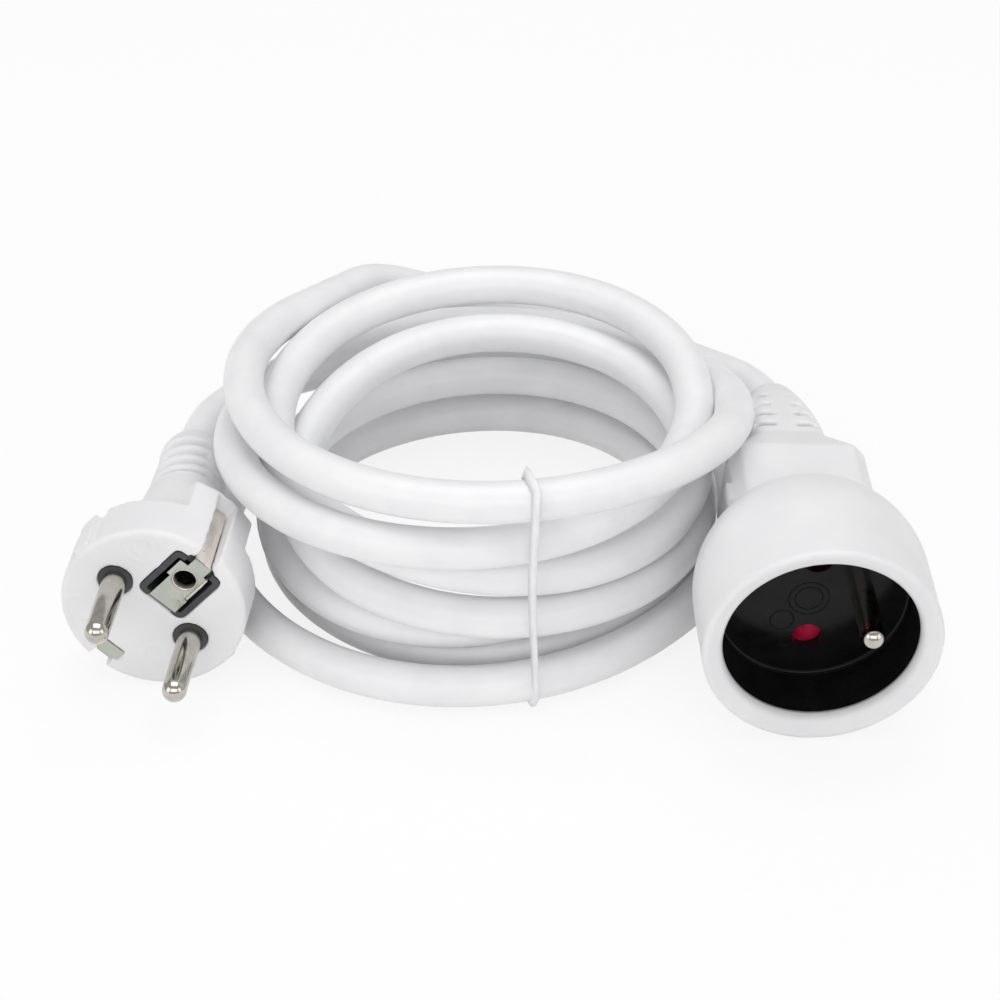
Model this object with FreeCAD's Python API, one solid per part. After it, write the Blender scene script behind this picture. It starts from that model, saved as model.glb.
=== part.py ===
import FreeCAD, Part
import math
import os

# Extension cord: an earthed two-pin plug, a coupling socket and the flexible cord between them,
# wound seven times round and tied at the front. Millimetres, +Z up, the front faces -Y.
# The plug and the socket are each drawn in a frame of their own and then laid in place.

V = FreeCAD.Vector
UP = V(0, 0, 1)

# Cord
CORD_D = 8.0
CORE_D = 2.7
CORE_GAP = 0.15
BROWN_BEARING = 210.0
BLUE_BEARING = 330.0
EARTH_BEARING = 90.0
JACKET_INSIDE = 8.0
STRAND_GAP = 0.4
LEAD = CORD_D

# Fits
CLEAR = 0.1
BORE_CLEAR = 0.1
SLIDE_CLEAR = 0.02

# Pins and contacts, shared by plug and socket
PIN_D = 4.8
PIN_SHANK_D = 4.4
PIN_SPACING = 19.0
PIN_LENGTH = 19.0
EARTH_OFFSET = 10.0
CONTACT_WALL = 0.7

# Plug
PLUG_R = 18.4
PLUG_FACE_R = 18.3
PLUG_EDGE = 1.2
DISC_LENGTH = 11.3
BLOCK_HALF = 7.2
BLOCK_LENGTH = 20.0
BLOCK_CORNER = 1.4
GRIP_FRONT_HALF = 13.5
GRIP_FRONT_CORNER = 3.0
GRIP_REAR_HALF = 8.5
GRIP_REAR_CORNER = 7.9
GRIP_END = 36.0
BOOT_FRONT_R = 8.3
BOOT_MIDDLE_R = 6.9
BOOT_MIDDLE = 50.0
BOOT_MOUTH_R = 4.8
BOOT_END = 58.0
BOOT_TURN = 5.0
BOOT_BEND_AT = 33.0
BOOT_SLOTS = 4
BOOT_SLOT_FIRST = 37.2
BOOT_SLOT_PITCH = 4.2
BOOT_SLOT_WIDTH = 1.9
BOOT_SLOT_DEPTH = 0.9
BOOT_SLOT_SPAN = 80.0
GUIDE_FLOOR = 17.3
GUIDE_HALF = 4.3
GUIDE_FRONT = 1.8
GUIDE_RIB_HALF = 2.1
GUIDE_RIB_R = 18.8
COLLAR_R = 3.35
COLLAR_DEPTH = 6.0
BRIDGE_THICKNESS = 3.0
BRIDGE_HALF = 4.5
BRIDGE_OVERHANG = 0.35
FRAME_HALF = 5.5
FRAME_INNER = 2.0
FRAME_OUTER = 14.8
FRAME_WALL = 1.2
FRAME_DEPTH = 13.0
FRAME_CORNER = 1.5
CRIMP_OFFSET = 4.6
CRIMP_R = 1.9
CRIMP_BORE_R = 1.0
CRIMP_END = 17.0
TAB_THICKNESS = 1.2
STRIP_THICKNESS = 0.8
STRIP_WIDTH = 3.4
PLATE_HALF = 2.9
PLATE_INNER = 2.0
EARTH_BORE_CLEAR = 0.05
STRIP_TOP = 15.6
STRIP_BOTTOM = 16.4
LIP_END = 12.8
STRAP_DEPTH = 18.4
GROOVE_HALF = 2.1
GROOVE_END = 17.2
GROOVE_RAMP = 4.5
EARTH_CORE_AT = 5.0
PLUG_CORE_LEAD = 4.5
PLUG_CORE_MEET = 34.0

# Socket
CUP_R = 23.0
CUP_EDGE = 0.8
RIM_STEP = 1.2
LIP_MOUTH_R = 19.6
RECESS_R = 18.9
LIP_DEPTH = 1.8
RECESS_DEPTH = 13.8
CUP_WALL = 1.3
FLOOR_THICKNESS = 2.2
CUP_LENGTH = 15.7
NECK_HALF_X = 12.0
NECK_HALF_Y = 14.0
NECK_CHAMFER = 2.5
NECK_END = 48.0
SHOULDER_END = 57.0
SLEEVE_FRONT_HALF = 8.5
SLEEVE_FRONT_CORNER = 4.0
SLEEVE_MIDDLE_HALF = 7.6
SLEEVE_MIDDLE_CORNER = 4.5
SLEEVE_MIDDLE = 67.0
SLEEVE_REAR_HALF = 4.8
SLEEVE_REAR_CORNER = 4.7
SLEEVE_END = 79.6
SLEEVE_SLOTS = 4
SLEEVE_SLOT_FIRST = 60.0
SLEEVE_SLOT_PITCH = 4.2
SLEEVE_SLOT_WIDTH = 1.2
SLEEVE_SLOT_DEPTH = 1.6
SLEEVE_SLOT_REACH = 6.4
SLEEVE_SPINE = 4.0
LUG_WIDTH = 3.0
LUG_HEIGHT = 1.2
LUG_FRONT = 33.0
LUG_LENGTH = 5.0
HOLE_R = 3.0
BACK_RING_R = 18.5
BACK_RING_WALL = 1.5
BACK_PLATE_TOP = 19.4
BACK_PLATE_BOTTOM = 22.0
CHAMBER_END = 31.0
CHAMBER_WALL = 1.15
CHAMBER_GAP = 0.15
SOCKET_CRIMP_R = 1.7
SOCKET_CRIMP_LENGTH = 6.0
SOCKET_CORE_LEAD = 5.0
SOCKET_CORE_MEET = 58.0
EARTH_TIP_DEPTH = 0.2
EARTH_TAIL_END = 24.0
PIVOT_R = 1.2
HUB_R = 2.6
BLADE_R = 13.2
BLADE_HALF_ANGLE = 20.0
SHUTTER_TRAVEL = 42.0
SHUTTER_THICKNESS = 2.4
SHUTTER_GAP = 0.3
STOP_R = 1.0
STOP_AT = 12.0
SPRING_WIRE_D = 0.4
SPRING_TURNS = 2
SPRING_PITCH = 0.6

# Places, measured from the middle of the coil
COIL_CENTRE = V(0.95, 21.25, 0.45)
PLUG_FACE = V(-67.67, -42.51, 18.35)
PLUG_HEADING = -5.0
PLUG_TILT = -0.8
PLUG_ROLL = -42.7
ENDS_APART = 128.57
SOCKET_RIM = V(PLUG_FACE.x + ENDS_APART, -59.8, 23.0)
SOCKET_HEADING = 2.6
SOCKET_TILT = 2.7
SOCKET_ROLL = -93.0

# The coil crosses the four diagonals in the order right-back, left-back, left-front, right-front.
# One row is one turn: how far from the middle, and how high, the cord lies at each crossing.
COIL_RADII = [
    (58.0, 54.6, 49.5, 48.5),
    (47.0, 52.0, 54.0, 40.0),
    (40.5, 45.5, 45.5, 42.0),
    (36.5, 34.0, 46.5, 43.0),
    (39.5, 44.0, 44.5, 33.0),
    (39.5, 48.0, 40.5, 35.5),
    (47.5, 61.0, 54.5, 44.5),
    (56.5, 66.0),
]
COIL_HEIGHTS = [
    (14.0, 40.2, 47.0, 47.5),
    (30.0, 28.5, 36.5, 36.5),
    (42.0, 39.5, 31.5, 25.0),
    (33.0, 34.5, 21.5, 16.5),
    (20.5, 17.0, 12.5, 13.0),
    (10.5, 5.0, 4.5, 4.5),
    (4.5, 4.5, 4.5, 5.0),
    (9.0, 13.5),
]
COIL_FIRST_ANGLE = 45.0

# Free stretches, from the socket to the coil and from the coil to the plug
SOCKET_ROUTE = [(40.6, 42.0, 23.4), (21.5, 56.0, 24.4), (4.0, 61.2, 27.4), (-11.8, 60.4, 31.2)]
PLUG_ROUTE = [(12.0, 63.5, 10.6), (-8.0, 65.0, 11.2), (-27.5, 60.5, 12.0), (-45.8, 51.6, 13.4),
              (-59.0, 38.0, 15.6)]
SOCKET_EXIT_RUN = 12.5
PLUG_EXIT_RUN = 14.5
SOCKET_COIL_RUN = 12.0
PLUG_COIL_RUN = 12.0

# Tie round the front of the coil
TIE_X = 6.5
TIE_WIDTH = 2.2
TIE_THICKNESS = 0.3
TIE_CLEAR = 0.6
HULL_TURN = 0.2


# Solids and outlines

def box(x0, x1, y0, y1, z0, z1):
    return Part.makeBox(x1 - x0, y1 - y0, z1 - z0, V(x0, y0, z0))


def rod(radius, z0, z1, x=0.0, y=0.0):
    return Part.makeCylinder(radius, z1 - z0, V(x, y, z0))


def pipe(outer, inner, z0, z1, x=0.0, y=0.0):
    return rod(outer, z0, z1, x, y).cut(rod(inner, z0 - 1, z1 + 1, x, y))


def rounded_rectangle(half_x, half_y, corner, z, y=0.0):
    edges = []
    diagonal = corner * (1 - math.sqrt(0.5))
    ix = half_x - corner
    iy = half_y - corner
    for sx, sy in ((1, 1), (-1, 1), (-1, -1), (1, -1)):
        on_side = V(sx * half_x, y + sy * iy, z)
        on_end = V(sx * ix, y + sy * half_y, z)
        middle = V(sx * (half_x - diagonal), y + sy * (half_y - diagonal), z)
        first, last = (on_side, on_end) if sx == sy else (on_end, on_side)
        edges.append(Part.Arc(first, middle, last).toShape())
        if sx == sy:
            edges.append(Part.LineSegment(last, V(-sx * ix, last.y, z)).toShape())
        else:
            edges.append(Part.LineSegment(last, V(last.x, y - sy * iy, z)).toShape())
    return Part.Wire(edges)


def rounded_block(half_x, half_y, corner, z0, z1, y=0.0):
    face = Part.Face(rounded_rectangle(half_x, half_y, corner, z0, y))
    return face.extrude(V(0, 0, z1 - z0))


def prism_along_x(points, x0, x1):
    corners = [V(x0, y, z) for y, z in points]
    return Part.Face(Part.makePolygon(corners + corners[:1])).extrude(V(x1 - x0, 0, 0))


def turned(edges):
    return Part.Face(Part.Wire(edges)).revolve(V(0, 0, 0), UP, 360)


def line(a, b):
    return Part.LineSegment(a, b).toShape()


def arc(a, b, c):
    return Part.Arc(a, b, c).toShape()


def sector(outer, inner, start, span, z0, z1):
    wedge = Part.makeCylinder(outer, z1 - z0, V(0, 0, z0), UP, span)
    wedge.rotate(V(0, 0, 0), UP, start)
    return wedge.cut(rod(inner, z0 - 1, z1 + 1)) if inner > 0 else wedge


# Round tubes along straight runs and arcs

def arc_leaving(start, heading, end):
    """The arc that leaves start along heading and reaches end, its radius and its end heading."""
    chord = end - start
    length = chord.Length
    along = chord / length
    off = math.acos(max(-1.0, min(1.0, along.dot(heading))))
    side = heading - along * math.cos(off)
    side.normalize()
    middle = (start + end) / 2 + side * (length / 2 * math.tan(off / 2))
    leaving = along * (2 * math.cos(off)) - heading
    return arc(start, middle, end), length / (2 * math.sin(off)), leaving


def biarc(start, heading, end, final):
    """Two arcs that leave start along heading and reach end along final."""
    chord = end - start
    both = heading + final
    a = 2 * (1 - heading.dot(final))
    b = chord.dot(both)
    reach = (math.sqrt(b * b + a * chord.dot(chord)) - b) / a
    middle = (start + end + (heading - final) * reach) / 2
    first, radius_1, turned_heading = arc_leaving(start, heading, middle)
    second, radius_2, _ = arc_leaving(middle, turned_heading, end)
    return [first, second], [radius_1, radius_2]


def soft_route(points):
    """Straight runs joined by arcs as large as the two runs beside each point allow."""
    edges = []
    radii = []
    here = points[0]
    for before, corner, after in zip(points, points[1:], points[2:]):
        arriving = corner - before
        parting = after - corner
        shorter = min(arriving.Length, parting.Length)
        arriving.normalize()
        parting.normalize()
        half_turn = arriving.getAngle(parting) / 2
        cut = 0.45 * shorter
        radius = cut / math.tan(half_turn)
        inward = parting - arriving
        inward.normalize()
        middle = corner + inward * (radius / math.cos(half_turn) - radius)
        edges.append(line(here, corner - arriving * cut))
        edges.append(arc(corner - arriving * cut, middle, corner + parting * cut))
        here = corner + parting * cut
        radii.append(radius)
    edges.append(line(here, points[-1]))
    return edges, radii


def tube(edges, radius, heading):
    path = Part.Wire(edges)
    start = path.OrderedVertexes[0].Point
    profile = Part.Wire(Part.makeCircle(radius, start, heading))
    return path.makePipeShell([profile], True, False)


def heading_between(a, b):
    direction = b - a
    return direction.normalize()


# Places

def placed(shape, place):
    moved = shape.copy()
    moved.Placement = place.multiply(moved.Placement)
    return moved


def laid(point):
    return V(*point) + COIL_CENTRE


PLUG_PLACE = FreeCAD.Placement(
    PLUG_FACE + COIL_CENTRE,
    FreeCAD.Rotation(UP, PLUG_HEADING)
    * FreeCAD.Rotation(V(1, 0, 0), 90 + PLUG_TILT)
    * FreeCAD.Rotation(UP, PLUG_ROLL),
)
# The boot leans sideways from the grip; its bend is about a line that stands upright when the plug lies in place
BOOT_BEND = FreeCAD.Placement(
    V(0, 0, 0),
    FreeCAD.Rotation(PLUG_PLACE.Rotation.inverted().multVec(UP), BOOT_TURN),
    V(0, 0, -BOOT_BEND_AT),
)
SOCKET_PLACE = FreeCAD.Placement(
    SOCKET_RIM + COIL_CENTRE,
    FreeCAD.Rotation(UP, SOCKET_HEADING)
    * FreeCAD.Rotation(V(1, 0, 0), 90 + SOCKET_TILT)
    * FreeCAD.Rotation(UP, SOCKET_ROLL),
)
PLUG_JACKET = BOOT_END - JACKET_INSIDE
SOCKET_JACKET = SLEEVE_END - JACKET_INSIDE
CORE_RING = (CORE_D + CORE_GAP) / math.sqrt(3)


def core_seat(turn):
    angle = math.radians(turn)
    return V(CORE_RING * math.cos(angle), CORE_RING * math.sin(angle), 0)


def core(start, lead, meeting, end, turn, grow=0.0, bend=FreeCAD.Placement()):
    """One insulated core, from its crimp to the place where the jacket begins."""
    begin = V(start[0], start[1], -start[2])
    seat = core_seat(turn)
    points = [begin, begin - UP * lead, bend.multVec(seat - UP * meeting), bend.multVec(seat - UP * end)]
    edges, _ = soft_route(points)
    return tube(edges, CORE_D / 2 + grow, -UP)


# Plug, drawn with its face at z = 0 and its pins along +Z

PIN_R = PIN_D / 2
SHANK_R = PIN_SHANK_D / 2
PIN_X = PIN_SPACING / 2
BRIDGE_BACK = COLLAR_DEPTH + BRIDGE_THICKNESS
EARTH_BORE_R = PIN_R + EARTH_BORE_CLEAR


def plug_pin(side, grow=0.0):
    x = side * PIN_X
    tip = PIN_LENGTH - PIN_R
    back = -BRIDGE_BACK - TAB_THICKNESS
    shaft = rod(PIN_R, CLEAR / 2, tip, x)
    shank = rod(SHANK_R, -BRIDGE_BACK - CLEAR / 2, CLEAR / 2, x)
    dome = Part.makeSphere(PIN_R, V(x, 0, tip))
    inner = CRIMP_OFFSET - CRIMP_R
    outer = PIN_X + PIN_R
    tab_x = sorted((side * (inner - grow), side * (outer + grow)))
    half = CRIMP_R + grow
    tab = box(tab_x[0], tab_x[1], -half, half, back - grow, -BRIDGE_BACK - CLEAR / 2 + grow)
    crimp = rod(CRIMP_R + grow, -CRIMP_END - grow, back, side * CRIMP_OFFSET)
    if grow:
        return tab.fuse(crimp)
    crimp = crimp.cut(rod(CRIMP_BORE_R, -CRIMP_END - 1, back - 1, side * CRIMP_OFFSET))
    return shaft.fuse([shank, dome, tab, crimp]).removeSplitter()


def frame_opening(grow=0.0):
    half_y = (FRAME_OUTER - FRAME_INNER) / 2
    middle = (FRAME_OUTER + FRAME_INNER) / 2
    return rounded_block(FRAME_HALF + grow, half_y + grow, FRAME_CORNER, -FRAME_DEPTH - grow, 0, middle)


def plug_bridge(grow=0.0):
    reach = PIN_X + COLLAR_R + BRIDGE_OVERHANG + grow
    bar = box(-reach, reach, -BRIDGE_HALF - grow, BRIDGE_HALF + grow, -BRIDGE_BACK - grow, -COLLAR_DEPTH + grow)
    body = bar.fuse(frame_opening(grow))
    for side in (-1, 1):
        body = body.fuse(rod(COLLAR_R + grow, -COLLAR_DEPTH - 1, 0, side * PIN_X))
    if grow:
        return body
    half_y = (FRAME_OUTER - FRAME_INNER) / 2 - FRAME_WALL
    middle = (FRAME_OUTER + FRAME_INNER) / 2
    hollow = rounded_block(FRAME_HALF - FRAME_WALL, half_y, 0.5, -FRAME_DEPTH + 1, 1, middle)
    body = body.cut(hollow)
    for side in (-1, 1):
        body = body.cut(rod(SHANK_R + SLIDE_CLEAR, -BRIDGE_BACK - 1, 1, side * PIN_X))
    notch = box(-PLATE_HALF - CLEAR, PLATE_HALF + CLEAR, 0, 20, -STRIP_THICKNESS - CLEAR, 1)
    return body.cut(notch).removeSplitter()


def earth_clip(grow=0.0):
    half = STRIP_WIDTH / 2 + grow
    t = STRIP_THICKNESS
    plate = box(-PLATE_HALF - grow, PLATE_HALF + grow, PLATE_INNER - grow, STRIP_TOP + grow, -t - grow, 0)
    top_leg = box(-half, half, STRIP_TOP - t - grow, STRIP_TOP + grow, -STRAP_DEPTH - grow, 0)
    low_leg = box(-half, half, -STRIP_BOTTOM - grow, -STRIP_BOTTOM + t + grow, -STRAP_DEPTH - grow, 0)
    lip = box(-half, half, -STRIP_BOTTOM - grow, -LIP_END + grow, -t - grow, 0)
    strap = box(-half, half, -STRIP_BOTTOM - grow, STRIP_TOP + grow, -STRAP_DEPTH - grow, -STRAP_DEPTH + t + grow)
    clip = plate.fuse([top_leg, low_leg, lip, strap])
    if grow:
        return clip
    hole = rod(EARTH_BORE_R, -t - 1, 1, 0, EARTH_OFFSET)
    return clip.cut(hole).removeSplitter()


def earth_sleeve():
    outer = EARTH_BORE_R + CONTACT_WALL
    top = -STRIP_THICKNESS - CLEAR
    bottom = -FRAME_DEPTH + 1 + CLEAR
    sleeve = pipe(outer, EARTH_BORE_R, bottom, top, 0, EARTH_OFFSET)
    slit = box(-0.4, 0.4, EARTH_OFFSET - outer - 1, EARTH_OFFSET, bottom + 2, top + 1)
    flange = box(outer - 0.2, outer + 0.5, EARTH_OFFSET - 6, EARTH_OFFSET + 1, top - 5, top)
    return sleeve.cut(slit).fuse(flange).removeSplitter()


def grooves():
    shapes = []
    deep = PLUG_R + 3
    for side in (-1, 1):
        ends = sorted((side * GUIDE_FLOOR, side * deep))
        cut = box(ends[0], ends[1], -GUIDE_HALF, GUIDE_HALF, -DISC_LENGTH, -GUIDE_FRONT)
        shapes.append(cut.cut(box(ends[0], ends[1], -GUIDE_RIB_HALF, GUIDE_RIB_HALF, -DISC_LENGTH, -GUIDE_FRONT)))
    for side, floor in ((1, STRIP_TOP - STRIP_THICKNESS - CLEAR), (-1, STRIP_BOTTOM - STRIP_THICKNESS - CLEAR)):
        points = [(side * floor, 1), (side * deep, 1), (side * deep, -GROOVE_END - GROOVE_RAMP),
                  (side * floor, -GROOVE_END)]
        shapes.append(prism_along_x(points, -GROOVE_HALF, GROOVE_HALF))
    return shapes


def plug_boot():
    profile = [
        line(V(0, 0, -GRIP_END + 3), V(BOOT_FRONT_R, 0, -GRIP_END + 3)),
        line(V(BOOT_FRONT_R, 0, -GRIP_END + 3), V(BOOT_FRONT_R, 0, -GRIP_END)),
        line(V(BOOT_FRONT_R, 0, -GRIP_END), V(BOOT_MIDDLE_R, 0, -BOOT_MIDDLE)),
        arc(V(BOOT_MIDDLE_R, 0, -BOOT_MIDDLE),
            V(BOOT_MIDDLE_R * 0.93, 0, -BOOT_END + 3),
            V(BOOT_MOUTH_R, 0, -BOOT_END)),
        line(V(BOOT_MOUTH_R, 0, -BOOT_END), V(0, 0, -BOOT_END)),
        line(V(0, 0, -BOOT_END), V(0, 0, -GRIP_END + 3)),
    ]
    boot = turned(profile)
    slope = (BOOT_FRONT_R - BOOT_MIDDLE_R) / (BOOT_MIDDLE - GRIP_END)
    for row in range(BOOT_SLOTS):
        depth = BOOT_SLOT_FIRST + row * BOOT_SLOT_PITCH
        floor = BOOT_FRONT_R - slope * (depth - GRIP_END) - BOOT_SLOT_DEPTH
        for middle in (90 - PLUG_ROLL, 270 - PLUG_ROLL):
            boot = boot.cut(sector(BOOT_FRONT_R + 1, floor, middle - BOOT_SLOT_SPAN / 2, BOOT_SLOT_SPAN,
                                   -depth - BOOT_SLOT_WIDTH / 2, -depth + BOOT_SLOT_WIDTH / 2))
    return placed(boot, BOOT_BEND)


def plug_body():
    edge = PLUG_EDGE
    lean = edge * math.sqrt(0.5)
    disc = turned([
        line(V(0, 0, 0), V(PLUG_FACE_R - edge, 0, 0)),
        arc(V(PLUG_FACE_R - edge, 0, 0),
            V(PLUG_FACE_R - edge + lean, 0, -edge + lean),
            V(PLUG_FACE_R, 0, -edge)),
        line(V(PLUG_FACE_R, 0, -edge), V(PLUG_R, 0, -DISC_LENGTH)),
        line(V(PLUG_R, 0, -DISC_LENGTH), V(0, 0, -DISC_LENGTH)),
        line(V(0, 0, -DISC_LENGTH), V(0, 0, 0)),
    ])
    block = rounded_block(BLOCK_HALF, PLUG_R + 2, BLOCK_CORNER, -BLOCK_LENGTH, -DISC_LENGTH + 1)
    block = block.common(rod(PLUG_R, -BLOCK_LENGTH, 0))
    grip = Part.makeLoft([
        rounded_rectangle(BLOCK_HALF, GRIP_FRONT_HALF, GRIP_FRONT_CORNER, -BLOCK_LENGTH),
        rounded_rectangle(GRIP_REAR_HALF, GRIP_REAR_HALF, GRIP_REAR_CORNER, -GRIP_END),
    ], True, True)
    ribs = box(-GUIDE_RIB_R, GUIDE_RIB_R, -GUIDE_RIB_HALF, GUIDE_RIB_HALF, -DISC_LENGTH, -GUIDE_FRONT)
    return disc.fuse([ribs, block, grip, plug_boot()])


PLUG_CORES = {
    "brown": ((-CRIMP_OFFSET, 0.0, CRIMP_END), BROWN_BEARING),
    "blue": ((CRIMP_OFFSET, 0.0, CRIMP_END), BLUE_BEARING),
    "earth": ((0.0, EARTH_CORE_AT, STRAP_DEPTH), EARTH_BEARING),
}


def plug_core(name, grow=0.0):
    start, turn = PLUG_CORES[name]
    return core(start, PLUG_CORE_LEAD, PLUG_CORE_MEET, PLUG_JACKET, turn, grow, BOOT_BEND)


def plug_cover():
    body = plug_body()
    tools = grooves() + [plug_bridge(CLEAR), earth_clip(CLEAR)]
    tools += [plug_pin(-1, CLEAR), plug_pin(1, CLEAR)]
    tools += [plug_core(name, CLEAR) for name in PLUG_CORES]
    tools.append(placed(rod(CORD_D / 2 + BORE_CLEAR, -BOOT_END - 1, -PLUG_JACKET), BOOT_BEND))
    for tool in tools:
        body = body.cut(tool)
    return body.removeSplitter()


# Socket, drawn with its rim at z = 0 and its mouth towards +Z

CAVITY_R = RECESS_R + CUP_WALL
FLOOR_BACK = RECESS_DEPTH + FLOOR_THICKNESS
CONTACT_BORE_R = PIN_R + SLIDE_CLEAR
CONTACT_R = CONTACT_BORE_R + CONTACT_WALL
CHAMBER_R = CONTACT_R + CHAMBER_GAP
SOCKET_CRIMP_END = CHAMBER_END + SOCKET_CRIMP_LENGTH
SHUTTER_TOP = FLOOR_BACK + SHUTTER_GAP


def octagon(half_x, half_y, chamfer, z):
    corners = []
    for sx, sy in ((1, 1), (-1, 1), (-1, -1), (1, -1)):
        pair = [V(sx * half_x, sy * (half_y - chamfer), z), V(sx * (half_x - chamfer), sy * half_y, z)]
        corners += pair if sx == sy else pair[::-1]
    return corners


def socket_sleeve():
    rear = rounded_rectangle(SLEEVE_REAR_HALF, SLEEVE_REAR_HALF, SLEEVE_REAR_CORNER, -SLEEVE_END)
    middle = rounded_rectangle(SLEEVE_MIDDLE_HALF, SLEEVE_MIDDLE_HALF, SLEEVE_MIDDLE_CORNER, -SLEEVE_MIDDLE)
    sleeve = Part.makeLoft([sleeve_front(), middle, rear], True, False)
    floor = max(CORD_D / 2 + CONTACT_WALL, SLEEVE_REAR_HALF)
    for row in range(SLEEVE_SLOTS):
        depth = SLEEVE_SLOT_FIRST + row * SLEEVE_SLOT_PITCH
        past = max(0.0, depth - SLEEVE_MIDDLE) / (SLEEVE_END - SLEEVE_MIDDLE)
        half = SLEEVE_MIDDLE_HALF + past * (SLEEVE_REAR_HALF - SLEEVE_MIDDLE_HALF)
        low = max(floor, half - SLEEVE_SLOT_DEPTH)
        slot = box(-20, 20, -SLEEVE_SLOT_REACH, SLEEVE_SLOT_REACH,
                   -depth - SLEEVE_SLOT_WIDTH / 2, -depth + SLEEVE_SLOT_WIDTH / 2)
        slot = slot.cut(box(-low, low, -20, 20, -depth - 2, -depth + 2))
        slot = slot.cut(box(-20, 20, -SLEEVE_SPINE / 2, SLEEVE_SPINE / 2, -depth - 2, -depth + 2))
        sleeve = sleeve.cut(slot)
    return sleeve


def sleeve_front():
    return rounded_rectangle(SLEEVE_FRONT_HALF, SLEEVE_FRONT_HALF, SLEEVE_FRONT_CORNER, -SHOULDER_END)


def socket_body():
    edge = CUP_EDGE
    lean = edge * math.sqrt(0.5)
    slant = CUP_R * math.sqrt(0.5)
    top = RIM_STEP
    cup = turned([
        line(V(0, 0, 0), V(LIP_MOUTH_R, 0, 0)),
        line(V(LIP_MOUTH_R, 0, 0), V(CUP_R - edge, 0, top)),
        arc(V(CUP_R - edge, 0, top), V(CUP_R - edge + lean, 0, top - edge + lean), V(CUP_R, 0, top - edge)),
        line(V(CUP_R, 0, top - edge), V(CUP_R, 0, -CUP_LENGTH)),
        arc(V(CUP_R, 0, -CUP_LENGTH), V(slant, 0, -CUP_LENGTH - slant), V(0, 0, -CUP_LENGTH - CUP_R)),
        line(V(0, 0, -CUP_LENGTH - CUP_R), V(0, 0, 0)),
    ])
    front = octagon(NECK_HALF_X, NECK_HALF_Y, NECK_CHAMFER, -CUP_LENGTH)
    neck = Part.Face(Part.makePolygon(front + front[:1])).extrude(V(0, 0, CUP_LENGTH - NECK_END))
    rear = octagon(NECK_HALF_X, NECK_HALF_Y, NECK_CHAMFER, -NECK_END)
    shoulder = Part.makeLoft([Part.makePolygon(rear + rear[:1]), sleeve_front()], True, True)
    lug = box(NECK_CHAMFER - NECK_HALF_X, NECK_CHAMFER - NECK_HALF_X + LUG_WIDTH,
              -NECK_HALF_Y - LUG_HEIGHT, -NECK_HALF_Y + 1, -LUG_FRONT - LUG_LENGTH, -LUG_FRONT)
    return cup.fuse([neck, shoulder, lug, socket_sleeve()])


def recess():
    cone = Part.makeCone(RECESS_R, LIP_MOUTH_R, LIP_DEPTH + CLEAR, V(0, 0, -LIP_DEPTH))
    return cone.fuse(rod(RECESS_R, -RECESS_DEPTH, 1))


def socket_insert():
    return pipe(CAVITY_R, RECESS_R, -RECESS_DEPTH + CLEAR / 2, -LIP_DEPTH - CLEAR / 2)


def insert_floor():
    disc = rod(CAVITY_R, -FLOOR_BACK, -RECESS_DEPTH)
    for side in (-1, 1):
        disc = disc.cut(rod(HOLE_R, -FLOOR_BACK - 1, 1, side * PIN_X))
    return disc.cut(rod(SHANK_R + SLIDE_CLEAR, -FLOOR_BACK - 1, 1, 0, EARTH_OFFSET))


def at_bearing(degrees, radius):
    angle = math.radians(degrees)
    return radius * math.cos(angle), radius * math.sin(angle)


def insert_back(grow=0.0):
    top = -FLOOR_BACK - CLEAR / 2
    plate = rod(BACK_RING_R + grow, -BACK_PLATE_BOTTOM - grow, -BACK_PLATE_TOP)
    ring = pipe(BACK_RING_R + grow, BACK_RING_R - BACK_RING_WALL, -BACK_PLATE_TOP - 0.5, top)
    if grow:
        ring = rod(BACK_RING_R + grow, -BACK_PLATE_TOP - 0.5, top)
    body = plate.fuse(ring)
    outer = CHAMBER_R + CHAMBER_WALL + grow
    for side in (-1, 1):
        body = body.fuse(rod(outer, -CHAMBER_END - grow, -BACK_PLATE_BOTTOM + 0.5, side * PIN_X))
    if grow:
        return body
    body = body.fuse(rod(PIVOT_R, -BACK_PLATE_TOP - 0.5, -FLOOR_BACK - CLEAR))
    stop_half = math.degrees(STOP_R / STOP_AT) + math.degrees(SHUTTER_GAP / STOP_AT)
    for bearing in (-BLADE_HALF_ANGLE - stop_half, SHUTTER_TRAVEL + BLADE_HALF_ANGLE + stop_half):
        x, y = at_bearing(bearing, STOP_AT)
        body = body.fuse(rod(STOP_R, -BACK_PLATE_TOP - 0.5, -FLOOR_BACK - CLEAR, x, y))
    for side in (-1, 1):
        body = body.cut(rod(CHAMBER_R, -CHAMBER_END - 1, -BACK_PLATE_TOP + 1, side * PIN_X))
    return body.cut(rod(SHANK_R + SLIDE_CLEAR, -BACK_PLATE_BOTTOM - 1, 0, 0, EARTH_OFFSET)).removeSplitter()


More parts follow.
